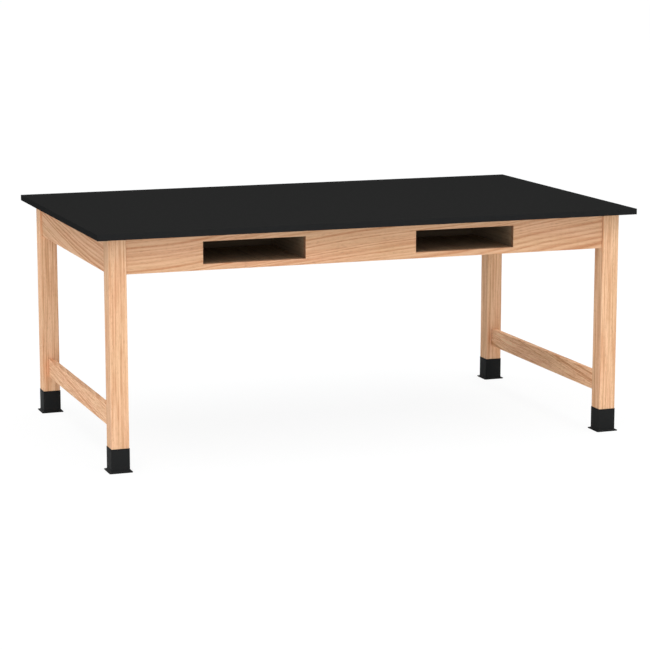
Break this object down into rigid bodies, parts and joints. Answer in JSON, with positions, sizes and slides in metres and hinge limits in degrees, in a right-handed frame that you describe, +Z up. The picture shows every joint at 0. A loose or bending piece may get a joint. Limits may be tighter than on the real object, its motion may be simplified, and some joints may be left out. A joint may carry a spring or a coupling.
{
  "type": "science lab table",
  "caption": "Free-standing laboratory table: black slab worktop on a square-legged oak frame, end stretchers, open book compartments in the front apron and screw-down glides in leg boots.",
  "frame": {"origin": "on the floor at the centre of the table's footprint", "axes": "+X along the length to the right as seen from the front, +Y from the side with the book openings to the rear, +Z up"},
  "size_m": [1.8288, 1.0668, 0.7556],
  "materials": {
    "worktop_black": "matte black resin slab",
    "oak": "light natural oak, satin clear coat",
    "compartment_ply": "clear-coated plywood",
    "boot_rubber": "black moulded, satin",
    "pad_nylon": "dark nylon",
    "zinc_steel": "zinc plated",
    "brass": "turned"
  },
  "bodies": {
    "table": {"worktop": "worktop_black", "leg_front_left": "oak", "leg_front_right": "oak", "leg_rear_left": "oak", "leg_rear_right": "oak", "front_apron": "oak", "rear_apron": "oak", "left_apron": "oak", "right_apron": "oak", "left_stretcher": "oak", "right_stretcher": "oak", "cross_rail": "oak", "left_compartment_floor": "compartment_ply", "left_compartment_back": "compartment_ply", "left_compartment_left_side": "compartment_ply", "left_compartment_right_side": "compartment_ply", "left_compartment_left_cleat": "compartment_ply", "left_compartment_right_cleat": "compartment_ply", "right_compartment_floor": "compartment_ply", "right_compartment_back": "compartment_ply", "right_compartment_left_side": "compartment_ply", "right_compartment_right_side": "compartment_ply", "right_compartment_left_cleat": "compartment_ply", "right_compartment_right_cleat": "compartment_ply", "boot_front_left": "boot_rubber", "boot_front_right": "boot_rubber", "boot_rear_left": "boot_rubber", "boot_rear_right": "boot_rubber", "glide_insert_front_left": "brass", "glide_insert_front_right": "brass", "glide_insert_rear_left": "brass", "glide_insert_rear_right": "brass", "corner_bracket_front_left": "zinc_steel", "corner_bracket_front_right": "zinc_steel", "corner_bracket_rear_left": "zinc_steel", "corner_bracket_rear_right": "zinc_steel", "hanger_bolt_front_left": "zinc_steel", "hanger_bolt_front_right": "zinc_steel", "hanger_bolt_rear_left": "zinc_steel", "hanger_bolt_rear_right": "zinc_steel", "bracket_nut_front_left": "zinc_steel", "bracket_nut_front_right": "zinc_steel", "bracket_nut_rear_left": "zinc_steel", "bracket_nut_rear_right": "zinc_steel", "top_clip_front_left": "zinc_steel", "top_clip_front_right": "zinc_steel", "top_clip_rear_left": "zinc_steel", "top_clip_rear_right": "zinc_steel", "top_clip_left_front": "zinc_steel", "top_clip_left_rear": "zinc_steel", "top_clip_right_front": "zinc_steel", "top_clip_right_rear": "zinc_steel"},
    "pad_front_left": {"glide_pad_front_left": "pad_nylon"},
    "stem_front_left": {"glide_stem_front_left": "zinc_steel"},
    "pad_front_right": {"glide_pad_front_right": "pad_nylon"},
    "stem_front_right": {"glide_stem_front_right": "zinc_steel"},
    "pad_rear_left": {"glide_pad_rear_left": "pad_nylon"},
    "stem_rear_left": {"glide_stem_rear_left": "zinc_steel"},
    "pad_rear_right": {"glide_pad_rear_right": "pad_nylon"},
    "stem_rear_right": {"glide_stem_rear_right": "zinc_steel"}
  },
  "joints": [
    {"name": "glide_height_front_left", "type": "slide", "parent": "table", "child": "pad_front_left", "axis": [0, 0, -1], "range_m": [0, 0.01905]},
    {"name": "glide_turn_front_left", "type": "hinge", "parent": "pad_front_left", "child": "stem_front_left", "pos_m": [-0.84232, -0.46132, 0.0027], "axis": [0, 0, -1], "range_deg": [0, 4320]},
    {"name": "glide_height_front_right", "type": "slide", "parent": "table", "child": "pad_front_right", "axis": [0, 0, -1], "range_m": [0, 0.01905]},
    {"name": "glide_turn_front_right", "type": "hinge", "parent": "pad_front_right", "child": "stem_front_right", "pos_m": [0.84232, -0.46132, 0.0027], "axis": [0, 0, -1], "range_deg": [0, 4320]},
    {"name": "glide_height_rear_left", "type": "slide", "parent": "table", "child": "pad_rear_left", "axis": [0, 0, -1], "range_m": [0, 0.01905]},
    {"name": "glide_turn_rear_left", "type": "hinge", "parent": "pad_rear_left", "child": "stem_rear_left", "pos_m": [-0.84232, 0.46132, 0.0027], "axis": [0, 0, -1], "range_deg": [0, 4320]},
    {"name": "glide_height_rear_right", "type": "slide", "parent": "table", "child": "pad_rear_right", "axis": [0, 0, -1], "range_m": [0, 0.01905]},
    {"name": "glide_turn_rear_right", "type": "hinge", "parent": "pad_rear_right", "child": "stem_rear_right", "pos_m": [0.84232, 0.46132, 0.0027], "axis": [0, 0, -1], "range_deg": [0, 4320]}
  ],
  "couplings": [
    {"joint": "glide_turn_front_left", "follows": "glide_height_front_left", "rad_per_m": 3957.9},
    {"joint": "glide_turn_front_right", "follows": "glide_height_front_right", "rad_per_m": 3957.9},
    {"joint": "glide_turn_rear_left", "follows": "glide_height_rear_left", "rad_per_m": 3957.9},
    {"joint": "glide_turn_rear_right", "follows": "glide_height_rear_right", "rad_per_m": 3957.9}
  ]
}
